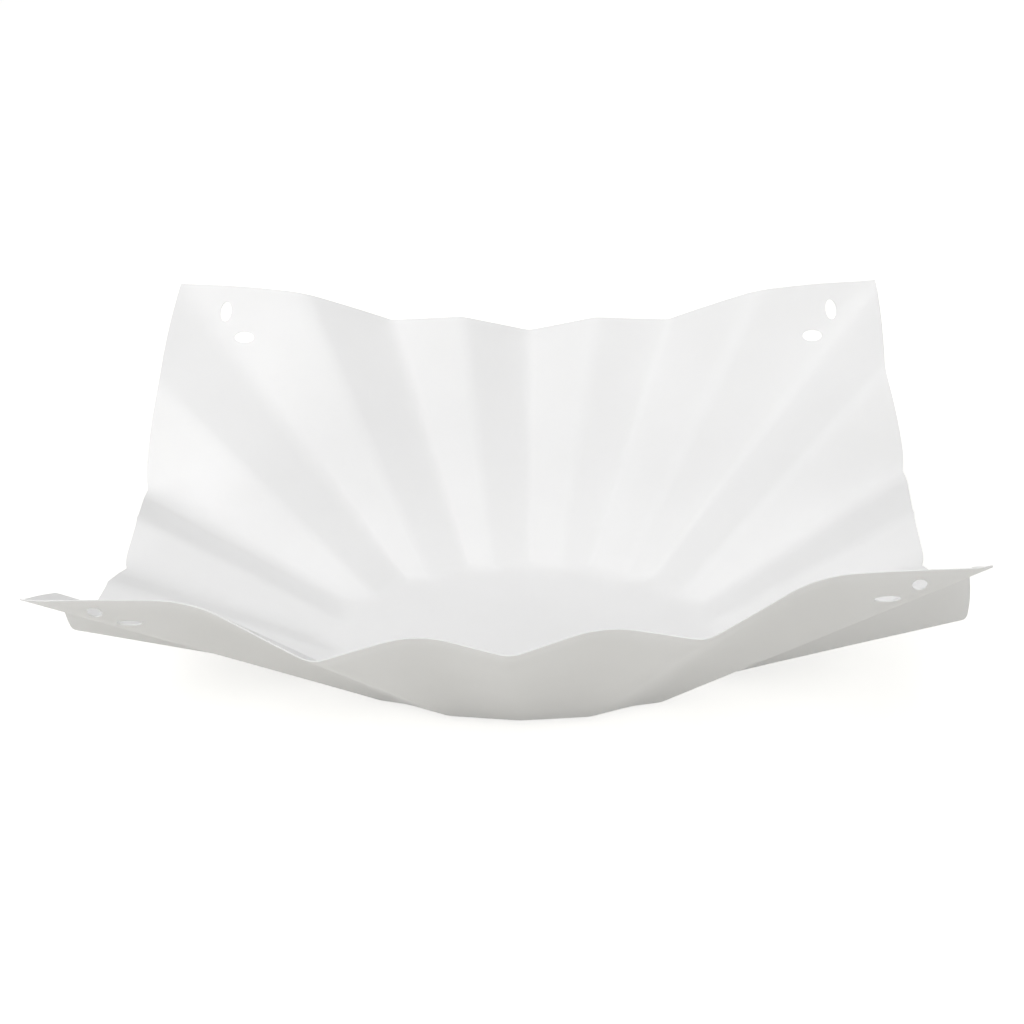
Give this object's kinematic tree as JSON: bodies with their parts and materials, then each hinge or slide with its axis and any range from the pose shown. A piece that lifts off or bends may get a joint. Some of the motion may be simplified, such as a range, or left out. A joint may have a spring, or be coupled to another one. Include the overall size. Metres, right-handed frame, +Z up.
{
  "type": "paper hot pot liner",
  "caption": "Square sheet of white coated paper, pleated from a flat floor into an open fluted bowl with raised corners and punched slots beside each corner.",
  "frame": {"origin": "centre of the underside of the flat floor", "axes": "+X towards one low side, +Y towards the high side at the back of the picture, +Z up out of the bowl"},
  "size_m": [0.2722, 0.2262, 0.0923],
  "materials": {
    "paper": "smooth matte"
  },
  "bodies": {
    "root": {"liner": "paper"}
  },
  "joints": []
}
